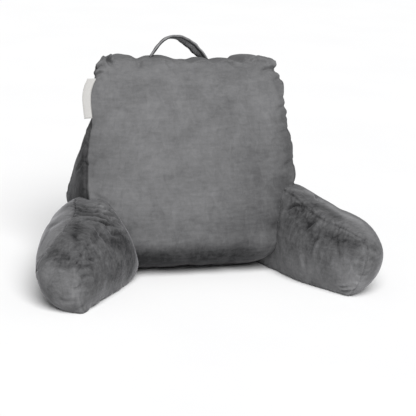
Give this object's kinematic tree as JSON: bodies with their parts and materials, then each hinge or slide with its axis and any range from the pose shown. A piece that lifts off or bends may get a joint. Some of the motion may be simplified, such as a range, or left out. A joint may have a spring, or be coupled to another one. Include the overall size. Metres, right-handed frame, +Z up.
{
  "type": "reading pillow with arms",
  "caption": "Reclined filled backrest with two filled arms curving forward at its sides, a carry handle on top and a blank side label; props a reader up in bed.",
  "frame": {"origin": "on the surface that the pillow rests on, under the middle of its overall box", "axes": "+Z up; the front panel and the arms face -Y; +X runs across the pillow, to the right of a viewer who looks at its front, and is its longest extent"},
  "size_m": [0.7176, 0.4726, 0.4835],
  "materials": {
    "velour_panel": "short-pile velour, dark grey, brushed",
    "velour_arm": "short-pile velour, dark grey, mottled by brushing",
    "velour_strap": "short-pile velour strap, stitched along both edges",
    "woven_tape": "off-white woven tape, folded, blank"
  },
  "bodies": {
    "root": {"backrest": "velour_panel", "arm_left": "velour_arm", "arm_right": "velour_arm", "carry_handle": "velour_strap", "side_label": "woven_tape"}
  },
  "joints": []
}
